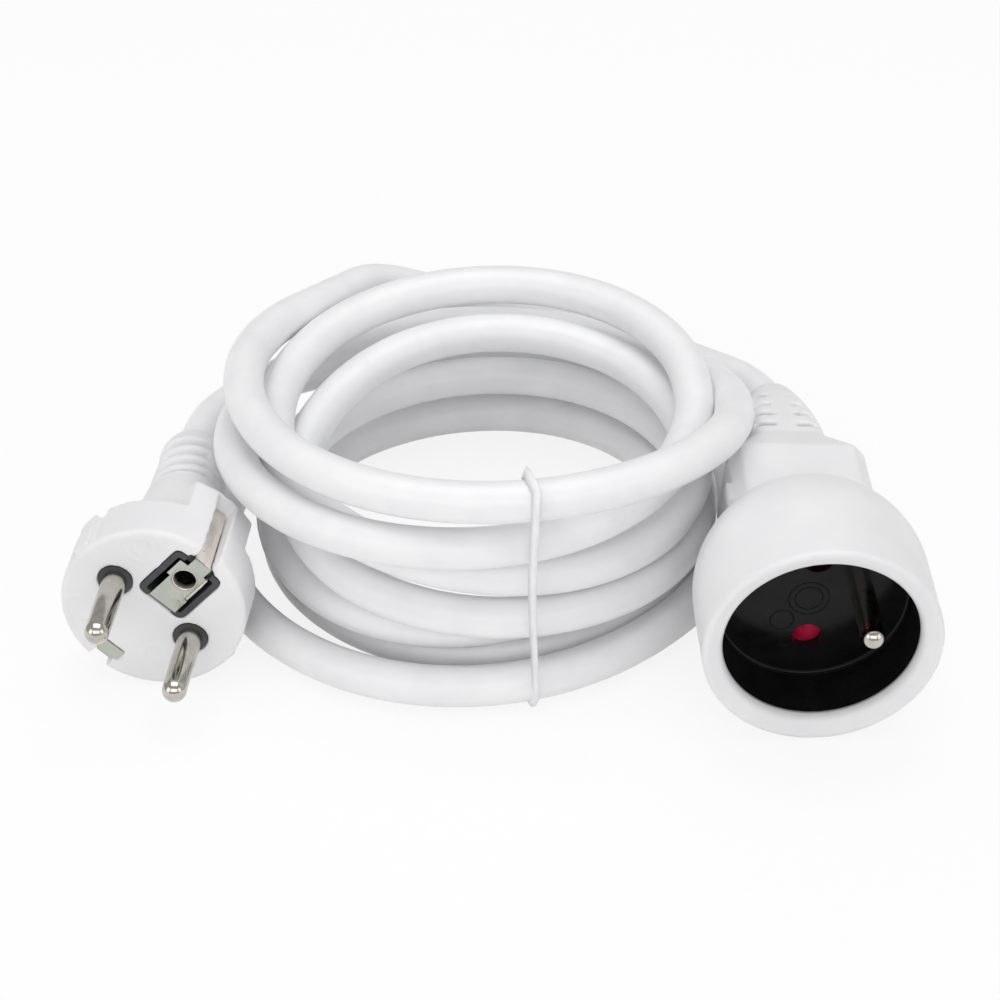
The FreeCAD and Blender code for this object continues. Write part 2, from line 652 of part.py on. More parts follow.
def shutter():
    bottom = SHUTTER_TOP + SHUTTER_THICKNESS
    hub = rod(HUB_R, -bottom, -SHUTTER_TOP)
    blades = []
    for bearing in (0, 180):
        blade = sector(BLADE_R, 0, bearing - BLADE_HALF_ANGLE, 2 * BLADE_HALF_ANGLE, -bottom, -SHUTTER_TOP)
        blades.append(blade)
    body = hub.fuse(blades)
    # The ramp that a pin pushes on, along the middle of each blade
    rise = SHUTTER_THICKNESS * 0.6
    for bearing in (0, 180):
        points = [V(PIN_X - HOLE_R, 0, -SHUTTER_TOP), V(PIN_X - HOLE_R, -HOLE_R, -SHUTTER_TOP),
                  V(PIN_X - HOLE_R, -HOLE_R, -SHUTTER_TOP - rise)]
        ramp = Part.Face(Part.makePolygon(points + points[:1])).extrude(V(2 * HOLE_R, 0, 0))
        ramp.rotate(V(0, 0, 0), UP, bearing)
        body = body.cut(ramp)
    pocket = rod(HUB_R - 0.4, -bottom - 1, -bottom + 1.3)
    return body.cut([rod(PIVOT_R + CLEAR, -bottom - 1, 0), pocket]).removeSplitter()


def shutter_spring():
    radius = PIVOT_R + CLEAR + SPRING_WIRE_D
    low = -BACK_PLATE_TOP + SPRING_WIRE_D / 2 + 0.05
    steps = SPRING_TURNS * 4
    stations = []
    headings = []
    for step in range(steps + 1):
        angle = math.pi / 2 * step
        stations.append(V(radius * math.cos(angle), radius * math.sin(angle), low + SPRING_PITCH * step / 4))
        heading = V(-radius * math.sin(angle), radius * math.cos(angle), SPRING_PITCH / (2 * math.pi))
        headings.append(heading.normalize())
    edges = []
    for step in range(steps):
        arcs, _ = biarc(stations[step], headings[step], stations[step + 1], headings[step + 1])
        edges += arcs
    return tube(edges, SPRING_WIRE_D / 2, headings[0])


def socket_contact(side):
    x = side * PIN_X
    sleeve = pipe(CONTACT_R, CONTACT_BORE_R, -CHAMBER_END + 0.8, -BACK_PLATE_TOP - CLEAR, x)
    slit = box(x - 0.4, x + 0.4, 0, CONTACT_R + 1, -CHAMBER_END + 3, -BACK_PLATE_TOP + 1)
    bottom = rod(CONTACT_R, -CHAMBER_END, -CHAMBER_END + 1, x)
    crimp = pipe(SOCKET_CRIMP_R, CRIMP_BORE_R, -SOCKET_CRIMP_END, -CHAMBER_END, x)
    return sleeve.cut(slit).fuse([bottom, crimp]).removeSplitter()


def socket_earth_pin():
    top = -PIN_R - EARTH_TIP_DEPTH
    shaft = rod(PIN_R, -RECESS_DEPTH + CLEAR / 2, top, 0, EARTH_OFFSET)
    shank = rod(SHANK_R, -EARTH_TAIL_END, -RECESS_DEPTH + CLEAR / 2, 0, EARTH_OFFSET)
    dome = Part.makeSphere(PIN_R, V(0, EARTH_OFFSET, top))
    crimp = pipe(SOCKET_CRIMP_R, CRIMP_BORE_R, -CHAMBER_END, -EARTH_TAIL_END, 0, EARTH_OFFSET)
    return shaft.fuse([shank, dome, crimp]).removeSplitter()


SOCKET_CORES = {
    "brown": ((-PIN_X, 0.0, SOCKET_CRIMP_END), BROWN_BEARING),
    "blue": ((PIN_X, 0.0, SOCKET_CRIMP_END), BLUE_BEARING),
    "earth": ((0.0, EARTH_OFFSET, CHAMBER_END), EARTH_BEARING),
}


def socket_core(name, grow=0.0):
    start, turn = SOCKET_CORES[name]
    return core(start, SOCKET_CORE_LEAD, SOCKET_CORE_MEET, SOCKET_JACKET, turn, grow)


def socket_cover():
    body = socket_body()
    cavity = rod(CAVITY_R + CLEAR, -FLOOR_BACK - CLEAR, -LIP_DEPTH)
    tools = [recess(), cavity, insert_back(CLEAR)]
    for side in (-1, 1):
        tools.append(rod(SOCKET_CRIMP_R + CLEAR, -SOCKET_CRIMP_END, -CHAMBER_END + 1, side * PIN_X))
    tools.append(rod(SHANK_R + CLEAR, -EARTH_TAIL_END - CLEAR, -BACK_PLATE_BOTTOM, 0, EARTH_OFFSET))
    tools.append(rod(SOCKET_CRIMP_R + CLEAR, -CHAMBER_END, -EARTH_TAIL_END, 0, EARTH_OFFSET))
    tools += [socket_core(name, CLEAR) for name in SOCKET_CORES]
    tools.append(rod(CORD_D / 2 + BORE_CLEAR, -SLEEVE_END - 1, -SOCKET_JACKET))
    for tool in tools:
        body = body.cut(tool)
    return body.removeSplitter()


# Cord

def coil_stations():
    """Points where the cord crosses the diagonals, and its heading there."""
    radii = [value for row in COIL_RADII for value in row]
    heights = [value for row in COIL_HEIGHTS for value in row]
    points = []
    headings = []
    for step in range(1, len(radii) - 1):
        angle = math.radians(COIL_FIRST_ANGLE + 90 * step)
        c = math.cos(angle)
        s = math.sin(angle)
        widening = (radii[step + 1] - radii[step - 1]) / math.pi
        climb = (heights[step + 1] - heights[step - 1]) / math.pi
        points.append(laid((radii[step] * c, radii[step] * s, heights[step])))
        headings.append(V(widening * c - radii[step] * s, widening * s + radii[step] * c, climb).normalize())
    return points, headings


def coil_path():
    points, headings = coil_stations()
    edges = [line(points[0] - headings[0] * LEAD, points[0])]
    radii = []
    for step in range(len(points) - 1):
        arcs, bends = biarc(points[step], headings[step], points[step + 1], headings[step + 1])
        edges += arcs
        radii += bends
    edges.append(line(points[-1], points[-1] + headings[-1] * LEAD))
    return edges, radii, headings


def points_along(edges, spacing):
    points = []
    for edge in edges:
        count = max(2, int(edge.Length / spacing) + 1)
        points += edge.discretize(count)[:-1]
    points.append(edges[-1].Vertexes[-1].Point)
    return points


def least_gap(points, diameter):
    """The least gap between two places on the cord more than a third of a turn apart."""
    travelled = [0.0]
    for here, there in zip(points, points[1:]):
        travelled.append(travelled[-1] + (there - here).Length)
    apart = 8 * diameter
    least = min(
        (points[i] - points[j]).Length
        for i in range(len(points))
        for j in range(i + 1, len(points))
        if travelled[j] - travelled[i] > apart
    )
    return least - diameter


def cord_routes():
    edges, bends, headings = coil_path()
    coil_start = edges[0].Vertexes[0].Point
    coil_end = edges[-1].Vertexes[-1].Point
    from_socket = [SOCKET_PLACE.multVec(V(0, 0, -SOCKET_JACKET - run)) for run in (0, SOCKET_EXIT_RUN)]
    from_socket += [laid(point) for point in SOCKET_ROUTE]
    from_socket += [coil_start - headings[0] * SOCKET_COIL_RUN, coil_start]
    to_plug = [coil_end, coil_end + headings[-1] * PLUG_COIL_RUN]
    to_plug += [laid(point) for point in PLUG_ROUTE]
    exits = [BOOT_BEND.multVec(V(0, 0, -PLUG_JACKET - run)) for run in (PLUG_EXIT_RUN, 0)]
    to_plug += [PLUG_PLACE.multVec(point) for point in exits]
    return edges, bends, headings, from_socket, to_plug


# Tie

def crossings(points, x):
    """Where the cord crosses the plane at x on the front side of the coil, as (y, z)."""
    found = []
    for here, there in zip(points, points[1:]):
        if (here.x - x) * (there.x - x) <= 0 and here.x != there.x and here.y < COIL_CENTRE.y:
            share = (x - here.x) / (there.x - here.x)
            place = here + (there - here) * share
            found.append((place.y, place.z))
    return found


def hull(points):
    """The corners of the shortest loop round the points, anticlockwise."""
    ordered = sorted(set(points))

    def chain(sequence):
        out = []
        for p in sequence:
            while len(out) > 1:
                (ax, ay), (bx, by) = out[-2], out[-1]
                if (bx - ax) * (p[1] - ay) - (by - ay) * (p[0] - ax) > HULL_TURN:
                    break
                out.pop()
            out.append(p)
        return out[:-1]

    return chain(ordered) + chain(ordered[::-1])


def loop_round(corners, offset, x):
    normals = []
    for here, there in zip(corners, corners[1:] + corners[:1]):
        length = math.hypot(there[0] - here[0], there[1] - here[1])
        normals.append(((there[1] - here[1]) / length, (here[0] - there[0]) / length))
    edges = []
    for index, corner in enumerate(corners):
        before = normals[index - 1]
        after = normals[index]
        both = (before[0] + after[0], before[1] + after[1])
        size = math.hypot(*both)
        spots = [before, (both[0] / size, both[1] / size), after]
        places = [V(x, corner[0] + offset * n[0], corner[1] + offset * n[1]) for n in spots]
        edges.append(arc(*places))
        following = corners[(index + 1) % len(corners)]
        edges.append(line(places[2], V(x, following[0] + offset * after[0], following[1] + offset * after[1])))
    return Part.Wire(edges)


def cord_tie(path_points):
    x = TIE_X + COIL_CENTRE.x
    planes = (x - TIE_WIDTH / 2, x, x + TIE_WIDTH / 2)
    corners = hull([place for plane in planes for place in crossings(path_points, plane)])
    inner = CORD_D / 2 + TIE_CLEAR
    outside = Part.Face(loop_round(corners, inner + TIE_THICKNESS, x - TIE_WIDTH / 2))
    inside = Part.Face(loop_round(corners, inner, x - TIE_WIDTH / 2))
    width = V(TIE_WIDTH, 0, 0)
    return outside.extrude(width).cut(inside.extrude(width))


# Assembly

def build():
    nodes = {}
    nodes["plug_cover"] = placed(plug_cover(), PLUG_PLACE)
    nodes["plug_bridge"] = placed(plug_bridge(), PLUG_PLACE)
    nodes["plug_pin_live"] = placed(plug_pin(-1), PLUG_PLACE)
    nodes["plug_pin_neutral"] = placed(plug_pin(1), PLUG_PLACE)
    nodes["earth_clip"] = placed(earth_clip(), PLUG_PLACE)
    nodes["earth_sleeve"] = placed(earth_sleeve(), PLUG_PLACE)
    for name in PLUG_CORES:
        nodes["plug_core_" + name] = placed(plug_core(name), PLUG_PLACE)
    nodes["socket_cover"] = placed(socket_cover(), SOCKET_PLACE)
    nodes["socket_insert"] = placed(socket_insert(), SOCKET_PLACE)
    nodes["insert_floor"] = placed(insert_floor(), SOCKET_PLACE)
    nodes["insert_back"] = placed(insert_back(), SOCKET_PLACE)
    nodes["shutter"] = placed(shutter(), SOCKET_PLACE)
    nodes["shutter_spring"] = placed(shutter_spring(), SOCKET_PLACE)
    nodes["contact_live"] = placed(socket_contact(-1), SOCKET_PLACE)
    nodes["contact_neutral"] = placed(socket_contact(1), SOCKET_PLACE)
    nodes["socket_earth_pin"] = placed(socket_earth_pin(), SOCKET_PLACE)
    for name in SOCKET_CORES:
        nodes["socket_core_" + name] = placed(socket_core(name), SOCKET_PLACE)

    edges, bends, headings, from_socket, to_plug = cord_routes()
    radius = CORD_D / 2
    nodes["cord_coil"] = tube(edges, radius, headings[0])
    socket_edges, socket_radii = soft_route(from_socket)
    plug_edges, plug_radii = soft_route(to_plug)
    nodes["cord_socket_end"] = tube(socket_edges, radius, heading_between(from_socket[0], from_socket[1]))
    nodes["cord_plug_end"] = tube(plug_edges, radius, heading_between(to_plug[0], to_plug[1]))

    whole = points_along(socket_edges + edges + plug_edges, 2.5)
    nodes["cord_tie"] = cord_tie(whole)

    print("least bend radius in the coil", round(min(bends), 1))
    print("bend radii from the socket", [round(value, 1) for value in socket_radii])
    print("bend radii to the plug", [round(value, 1) for value in plug_radii])
    gap = least_gap(whole, CORD_D)
    print("least gap of the cord to itself", round(gap, 2), "wanted over", STRAND_GAP)
    section = math.pi * radius ** 2
    total = 0.0
    for name, path in (("cord_coil", edges), ("cord_socket_end", socket_edges), ("cord_plug_end", plug_edges)):
        length = sum(edge.Length for edge in path)
        total += length
        print(name, "length", round(length, 1), "volume over section times length",
              round(nodes[name].Volume / (section * length), 4))
    print("cord length", round(total, 1))
    return nodes


def main():
    os.makedirs("parts", exist_ok=True)
    for name, shape in build().items():
        if not shape.isValid() or len(shape.Solids) != 1:
            print("CHECK", name, "valid", shape.isValid(), "solids", len(shape.Solids))
        shape.exportStep("parts/" + name + ".step")


main()
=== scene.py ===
# %% [markdown]
# An extension cord, ready to photograph.
# The cord lies in seven loose turns behind its plug and its socket, and a thin plastic tie
# holds the turns together at the front. The construction is already modelled to size, so
# this file only dresses it: the cord as one soft curve, the moulded covers with the soft
# edges that real mouldings have, a finish for every surface, and the studio around it.

# %% Load the construction
import math
import bpy
from mathutils import Matrix, Vector


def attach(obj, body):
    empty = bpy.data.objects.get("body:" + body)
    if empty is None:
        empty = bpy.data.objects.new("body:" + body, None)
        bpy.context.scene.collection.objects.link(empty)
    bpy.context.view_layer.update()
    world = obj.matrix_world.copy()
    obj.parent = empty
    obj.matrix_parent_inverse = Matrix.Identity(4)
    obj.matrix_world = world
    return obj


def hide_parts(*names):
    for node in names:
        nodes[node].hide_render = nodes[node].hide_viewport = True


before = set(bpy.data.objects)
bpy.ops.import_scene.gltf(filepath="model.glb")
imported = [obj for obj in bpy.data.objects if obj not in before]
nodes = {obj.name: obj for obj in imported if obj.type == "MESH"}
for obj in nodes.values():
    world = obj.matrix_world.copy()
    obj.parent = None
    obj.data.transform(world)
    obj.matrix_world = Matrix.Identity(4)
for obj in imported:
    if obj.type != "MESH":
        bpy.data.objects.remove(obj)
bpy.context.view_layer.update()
bpy.ops.object.select_all(action="DESELECT")
print("construction:", len(nodes), "pieces")

# %% [markdown]
# Where things are.
# The plug and the socket are easiest to think about one at a time, each lying flat with
# its face at height 0 and its front towards +Z. One matrix each then lays them down as
# they lie here. All sizes are in metres.

# %% Places of the coil, the plug and the socket
COIL_CENTRE = Vector((0.00095, 0.02125, 0.00045))
PLUG_FACE = Vector((-0.06767, -0.04251, 0.01835)) + COIL_CENTRE
SOCKET_RIM = Vector((0.0609, -0.0598, 0.0230)) + COIL_CENTRE


def laid_down(place, heading, tilt, roll):
    """Stands the front up, and turns the thing by degrees about Z, X and its own axis."""
    turn = (Matrix.Rotation(math.radians(heading), 4, "Z")
            @ Matrix.Rotation(math.radians(90 + tilt), 4, "X")
            @ Matrix.Rotation(math.radians(roll), 4, "Z"))
    return Matrix.Translation(place) @ turn


PLUG_ROLL = -42.7
PLUG = laid_down(PLUG_FACE, heading=-5.0, tilt=-0.8, roll=PLUG_ROLL)
SOCKET = laid_down(SOCKET_RIM, heading=2.6, tilt=2.7, roll=-93)
print("plug faces", [round(v, 3) for v in PLUG.col[2][:3]])

# %% [markdown]
# The camera.
# The photograph looks down by about a third of a right angle from well back, so the lens
# is long: 97 mm on a 36 mm wide sensor. A camera looks along its own -Z, so its turn
# about X is 90 degrees less the angle down.

# %% Make the camera
SENSOR = 36.0
LENS = 97.2
LOOK_DOWN = 34.7
CAMERA_PLACE = Vector((0.00095, -0.44165, 0.33585))

lens = bpy.data.cameras.new("camera")
lens.sensor_width = SENSOR
lens.lens = LENS
camera = bpy.data.objects.new("camera", lens)
camera.location = CAMERA_PLACE
camera.rotation_euler = (math.radians(90 - LOOK_DOWN), 0, 0)
bpy.context.scene.collection.objects.link(camera)
bpy.context.scene.camera = camera
print("camera looks down by", LOOK_DOWN, "degrees")

# %% [markdown]
# The cord.
# A round three-core cord is a stiff, springy thing: it never kinks, and it wanders a
# little from turn to turn. One curve with a round bevel gives exactly that. The turns
# are worked out from how far out and how high the cord passes on each diagonal of the
# coil, because those few numbers are what the eye can read off the photograph, and the
# places between them are eased from one diagonal to the next. The curve passes slightly
# inside its control points, so the points are set out by the same share.

# %% Read the turns of the coil
CORD_DIAMETER = 0.0082
COIL_RADII = [
    (0.0580, 0.0546, 0.0495, 0.0485),
    (0.0470, 0.0520, 0.0540, 0.0403),
    (0.0409, 0.0455, 0.0455, 0.0420),
    (0.0365, 0.0340, 0.0465, 0.0430),
    (0.0395, 0.0450, 0.0458, 0.0332),
    (0.0395, 0.0485, 0.0415, 0.0357),
    (0.0475, 0.0610, 0.0545, 0.0445),
    (0.0565, 0.0660),
]
COIL_HEIGHTS = [
    (0.0140, 0.0394, 0.0462, 0.0471),
    (0.0300, 0.0285, 0.0369, 0.0365),
    (0.0420, 0.0395, 0.0315, 0.0261),
    (0.0330, 0.0345, 0.0220, 0.0175),
    (0.0205, 0.0170, 0.0125, 0.0130),
    (0.0105, 0.0050, 0.0045, 0.0045),
    (0.0045, 0.0045, 0.0045, 0.0050),
    (0.0090, 0.0135),
]
FIRST_DIAGONAL = 45
STEPS = 6


def eased(values, index, share):
    """Between values index and index + 1, with the slope at each from its neighbours."""
    a, b = values[index], values[index + 1]
    slope_a = (b - values[index - 1]) / 2
    slope_b = (values[index + 2] - a) / 2
    s2, s3 = share ** 2, share ** 3
    return ((2 * s3 - 3 * s2 + 1) * a + (s3 - 2 * s2 + share) * slope_a
            + (3 * s2 - 2 * s3) * b + (s3 - s2) * slope_b)


def coil_points():
    """The points of the turns, a few for each quarter, round the coil's centre."""
    radii = [r for row in COIL_RADII for r in row]
    heights = [h for row in COIL_HEIGHTS for h in row]
    inside = 0.75 + 0.25 * math.cos(math.radians(90 / STEPS))
    last = len(radii) - 3
    points = []
    for index in range(1, last + 1):
        for step in range(STEPS + (index == last)):
            share = step / STEPS
            angle = math.radians(FIRST_DIAGONAL + 90 * (index + share))
            radius = eased(radii, index, share) / inside
            place = (radius * math.cos(angle), radius * math.sin(angle), eased(heights, index, share))
            points.append(COIL_CENTRE + Vector(place))
    return points


turns = coil_points()
print("coil:", len(turns), "points")

# %% [markdown]
# The ends of the cord.
# From the socket the cord bends round behind the coil and joins it on the right, and
# from the coil's left it runs round to the plug. These stretches follow no rule, so their
# points are given one by one. Each end starts straight inside its sleeve. The cord's half
# thickness is each point's radius, and the bevel is 1, because Blender adds the radius of
# the points, which is 1 metre unless it is set, to the box that it gives for a curve.

# %% Lay the cord
SOCKET_ROUTE = [(0.0406, 0.0420, 0.0234), (0.0215, 0.0560, 0.0244), (0.0040, 0.0606, 0.0264),
                (-0.0118, 0.0592, 0.0292)]
PLUG_ROUTE = [(0.0120, 0.0635, 0.0106), (-0.0080, 0.0650, 0.0112), (-0.0275, 0.0605, 0.0120),
              (-0.0458, 0.0516, 0.0134), (-0.0590, 0.0380, 0.0156)]
SOCKET_JACKET = 0.0716
PLUG_JACKET = 0.0500
SOCKET_EXIT_RUN = 0.0125
PLUG_EXIT_RUN = 0.0145
BOOT_TURN = 5.0
BOOT_BEND_AT = 0.033
LEAD = 0.008
SOCKET_COIL_RUN = 0.012
PLUG_COIL_RUN = 0.012


def boot_bend(matrix):
    """Turns what follows sideways, about an upright line through the plug's grip."""
    pivot = matrix @ Vector((0, 0, -BOOT_BEND_AT))
    turn = Matrix.Rotation(math.radians(BOOT_TURN), 4, "Z")
    return Matrix.Translation(pivot) @ turn @ Matrix.Translation(-pivot) @ matrix


def beyond(points, runs):
    """Points straight on past the end of a row of points."""
    ahead = (points[-1] - points[-2]).normalized()
    return [points[-1] + ahead * run for run in runs]


from_socket = [SOCKET @ Vector((0, 0, -SOCKET_JACKET - run)) for run in (0, SOCKET_EXIT_RUN)]
from_socket += [COIL_CENTRE + Vector(point) for point in SOCKET_ROUTE]
from_socket += beyond(turns[1::-1], (LEAD + SOCKET_COIL_RUN, LEAD))
to_plug = beyond(turns, (LEAD, LEAD + PLUG_COIL_RUN))
to_plug += [COIL_CENTRE + Vector(point) for point in PLUG_ROUTE]
to_plug += [boot_bend(PLUG) @ Vector((0, 0, -PLUG_JACKET - run)) for run in (PLUG_EXIT_RUN, 0)]
cord_points = from_socket + turns + to_plug

cord_curve = bpy.data.curves.new("cord", "CURVE")
cord_curve.dimensions = "3D"
spline = cord_curve.splines.new("NURBS")
spline.points.add(len(cord_points) - 1)
for control, place in zip(spline.points, cord_points):
    control.co = (*place, 1)
    control.radius = CORD_DIAMETER / 2
spline.order_u = 3
spline.use_endpoint_u = True
spline.resolution_u = 6
cord_curve.bevel_depth = 1.0
cord_curve.bevel_resolution = 8
cord_curve.use_fill_caps = True
cord = bpy.data.objects.new("cord", cord_curve)
bpy.context.scene.collection.objects.link(cord)
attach(cord, "cord_set")
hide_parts("cord_coil", "cord_socket_end", "cord_plug_end")
print("cord:", len(cord_points), "points")

# %% [markdown]
# The two white covers.
# Real covers are soft PVC shot round the inner parts in a steel mould, and every edge of
# them is slightly rolled, the slots of the strain reliefs most of all. The construction has
# its edges sharp. Bevelling them one by one tears where many small faces meet, so a copy of
# each cover is rebuilt on an even grid of voxels instead, and then smoothed: flat faces stay
# flat, and each edge rolls over by about a grid step, as it does in the mould. Before that,
# a shallow seat for the foot of the earth clip is cut out of the plug's face with a block.

# %% Helpers for cutting and joining


def only(piece):
    """Selects one piece and nothing else."""
    bpy.ops.object.select_all(action="DESELECT")
    piece.select_set(True)
    bpy.context.view_layer.objects.active = piece


def apply_all(piece):
    """Applies a piece's modifiers in their order."""
    only(piece)
    for modifier in list(piece.modifiers):
        bpy.ops.object.modifier_apply(modifier=modifier.name)


def block(x0, x1, y0, y1, z0, z1, place=Matrix.Identity(4)):
    """A box between these limits in millimetres, laid down by a matrix."""
    bpy.ops.object.select_all(action="DESELECT")
    bpy.ops.mesh.primitive_cube_add(size=0.001)
    made = bpy.context.object
    size = Matrix.Diagonal((x1 - x0, y1 - y0, z1 - z0, 1))
    middle = Vector((x0 + x1, y0 + y1, z0 + z1)) / 2000
    made.data.transform(place @ Matrix.Translation(middle) @ size)
    return made


def combine(piece, tool, operation):
    """Joins a tool to a piece, or cuts it out, and removes the tool."""
    step = piece.modifiers.new(operation.lower(), "BOOLEAN")
    step.operation = operation
    step.object = tool
    apply_all(piece)
    bpy.data.objects.remove(tool)


# %% Roll the edges of the covers
MERGE = 0.00001


def rolled_copy(name, node, voxel_mm, passes, recesses=()):
    """A copy of a CAD node with rolled edges, which replaces it."""
    piece = bpy.data.objects.new(name, nodes[node].data.copy())
    bpy.context.scene.collection.objects.link(piece)
    only(piece)
    bpy.ops.object.mode_set(mode="EDIT")
    bpy.ops.mesh.select_all(action="SELECT")
    bpy.ops.mesh.remove_doubles(threshold=MERGE)
    bpy.ops.object.mode_set(mode="OBJECT")
    for recess in recesses:
        combine(piece, recess, "DIFFERENCE")
    grid = piece.modifiers.new("even_grid", "REMESH")
    grid.mode = "VOXEL"
    grid.voxel_size = voxel_mm / 1000
    rolled = piece.modifiers.new("rolled_edges", "SMOOTH")
    rolled.factor = 0.5
    rolled.iterations = passes
    apply_all(piece)
    bpy.ops.object.shade_smooth()
    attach(piece, "cord_set")
    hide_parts(node)
    print(name, "has", len(piece.data.polygons), "faces")
    return piece


FOOT_X = (-2.3, 2.75)
FOOT_Y = (-15.0, -12.5)
SEAT_GAP = 0.1
SEAT_DEPTH = 0.7
foot_seat = block(FOOT_X[0] - SEAT_GAP, FOOT_X[1] + SEAT_GAP, FOOT_Y[0] - SEAT_GAP,
                  FOOT_Y[1] + SEAT_GAP, -SEAT_DEPTH, 1, PLUG)
soft_plug_cover = rolled_copy("soft_plug_cover", "plug_cover", 0.36, 3, [foot_seat])
soft_socket_cover = rolled_copy("soft_socket_cover", "socket_cover", 0.455, 3)

# %% [markdown]
# Marks pressed into the plug.
# The real boot has four soft hollows across its back, which let it flex. In the mould they
# are scooped, so they are pressed into the finished surface here: every point on the boot
# moves towards the cord's axis by a wave along the boot, which fades out towards the sides.
# The ribs between the hollows stand out a little. The face carries a few faint bare rings
# from the mould, and they are raised in the same way, by how far each point lies from its
# ring.

# %% Press the hollows into the boot
FIRST_HOLLOW = 0.0372
HOLLOW_PITCH = 0.0042
HOLLOWS = 4
HOLLOW_DEPTH = 0.0013
RIB_SHARE = 0.2
BARE_SIDES = 0.45
FULL_FROM = 0.5
BOOT_SKIN = 0.0052
UP_BEARING = math.radians(90 - PLUG_ROLL)

boot = boot_bend(PLUG)
to_boot = boot.inverted()
pressed = 0
for vertex in soft_plug_cover.data.vertices:
    place = to_boot @ vertex.co
    along = (-place.z - FIRST_HOLLOW) / HOLLOW_PITCH
    radius = math.hypot(place.x, place.y)
    if -0.5 < along < HOLLOWS - 0.5 and radius > BOOT_SKIN:
        side = math.cos(math.atan2(place.y, place.x) - UP_BEARING)
        fade = max(0.0, abs(side) - BARE_SIDES) / (1 - BARE_SIDES)
        wave = (0.5 + 0.5 * math.cos(2 * math.pi * along)) ** 2
        depth = HOLLOW_DEPTH * min(1.0, fade / FULL_FROM) * (wave - RIB_SHARE)
        keep = 1 - depth / radius
        vertex.co = boot @ Vector((place.x * keep, place.y * keep, place.z))
        pressed += 1
print("boot:", pressed, "points pressed in")

# %% Raise the bare rings on the plug's face
FACE_RINGS = [(-10.8, 10.2, 3.5), (-10.8, 10.2, 1.9), (-10.4, -10.0, 2.8), (7.6, -8.1, 2.5)]
RING_HEIGHT = 0.00013
RING_HALF_WIDTH = 0.00035
FACE_SKIN = 0.0004

to_face = PLUG.inverted()
out_of_face = PLUG.to_3x3() @ Vector((0, 0, 1))
for vertex in soft_plug_cover.data.vertices:
    place = to_face @ vertex.co
    if place.z > -FACE_SKIN:
        for x, y, radius in FACE_RINGS:
            off = math.hypot(place.x - x / 1000, place.y - y / 1000) - radius / 1000
            vertex.co += out_of_face * RING_HEIGHT * math.exp(-(off / RING_HALF_WIDTH) ** 2)
print("face:", len(FACE_RINGS), "bare rings")

# %% [markdown]
# The lip of the socket.
# Round the mouth of the socket the white cover ends in a full, even bead against the black
# liner. The voxels leave that edge a little ragged, so the bead is a ring of its own, turned
# as on a lathe. Its section starts as a circle with as many points as it needs, the points
# are moved to the outline, and the outline is spun once about the socket's axis.

# %% Turn the lip
BEAD = [(18.82, -2.3), (18.84, -1.6), (18.98, -0.95), (19.25, -0.4), (19.65, 0.02), (20.2, 0.28),
        (20.9, 0.45), (21.2, 0.1), (20.6, -0.9), (19.6, -2.3)]
WELD = 0.000002


def turned(name, section, place, steps=180):
    """Spins a section, radius and height in millimetres, once about the local Z axis."""
    bpy.ops.object.select_all(action="DESELECT")
    bpy.ops.mesh.primitive_circle_add(vertices=len(section), radius=0.001, calc_uvs=False)
    piece = bpy.context.object
    piece.name = name
    for vertex, (radius, height) in zip(piece.data.vertices, section):
        vertex.co = (radius / 1000, 0, height / 1000)
    bpy.ops.object.mode_set(mode="EDIT")
    bpy.ops.mesh.select_all(action="SELECT")
    bpy.ops.mesh.spin(steps=steps, angle=2 * math.pi, center=(0, 0, 0), axis=(0, 0, 1))
    bpy.ops.mesh.select_all(action="SELECT")
    bpy.ops.mesh.remove_doubles(threshold=WELD)
    bpy.ops.mesh.normals_make_consistent(inside=False)
    bpy.ops.object.mode_set(mode="OBJECT")
    bpy.ops.object.shade_smooth()
    piece.data.transform(place)
    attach(piece, "cord_set")
    print(name, "has", len(piece.data.polygons), "faces")
    return piece


lip_bead = turned("socket_lip", BEAD, SOCKET)

# %% [markdown]
# Inside the black liner.
# Where the liner's wall meets its floor the real moulding has a small hollow corner, which
# shows as a fine bright arc. It is turned in the same way, from a section that is a quarter
# of a circle against the wall and the floor. The floor carries a few bare rings from the
# mould, a tenth of a millimetre high, turned from a tiny section each.

# %% Turn the corner of the liner
WALL = 18.88
FLOOR = -13.78
CORNER = 0.7
CORNER_STEPS = 8

hollow = [(WALL, FLOOR)]
for step in range(CORNER_STEPS + 1):
    angle = math.pi / 2 * step / CORNER_STEPS
    hollow.append((WALL - CORNER + CORNER * math.cos(angle),
                   FLOOR + CORNER - CORNER * math.sin(angle)))
liner_corner = turned("liner_corner", hollow, SOCKET)

# %% Turn the bare rings on the liner's floor
FLOOR_RINGS = [(0.0, -0.7, 3.9), (0.0, -0.7, 2.7), (5.4, -5.4, 2.3), (10.6, -4.3, 1.3)]
RIDGE = [(-0.16, -0.05), (-0.06, 0.1), (0.06, 0.1), (0.16, -0.05)]

floor_rings = []
for number, (x, y, radius) in enumerate(FLOOR_RINGS, start=1):
    ridge = [(radius + across, FLOOR + up) for across, up in RIDGE]
    spot = SOCKET @ Matrix.Translation((x / 1000, y / 1000, 0))
    floor_rings.append(turned("floor_ring_%d" % number, ridge, spot, steps=72))

# %% [markdown]
# The earth clip.
# On the plug's face a piece of bent sheet steel shows: a plate with a punched hole and a
# stepped outline, a blade folded down along one side, and a strip that folds over the edge
# into each groove. A press tool cuts such a thing from sheet, so it is put together from
# flat blocks, the hole is punched with a cylinder, and a fine bevel gives the edges the
# bright line that cut and plated sheet has.

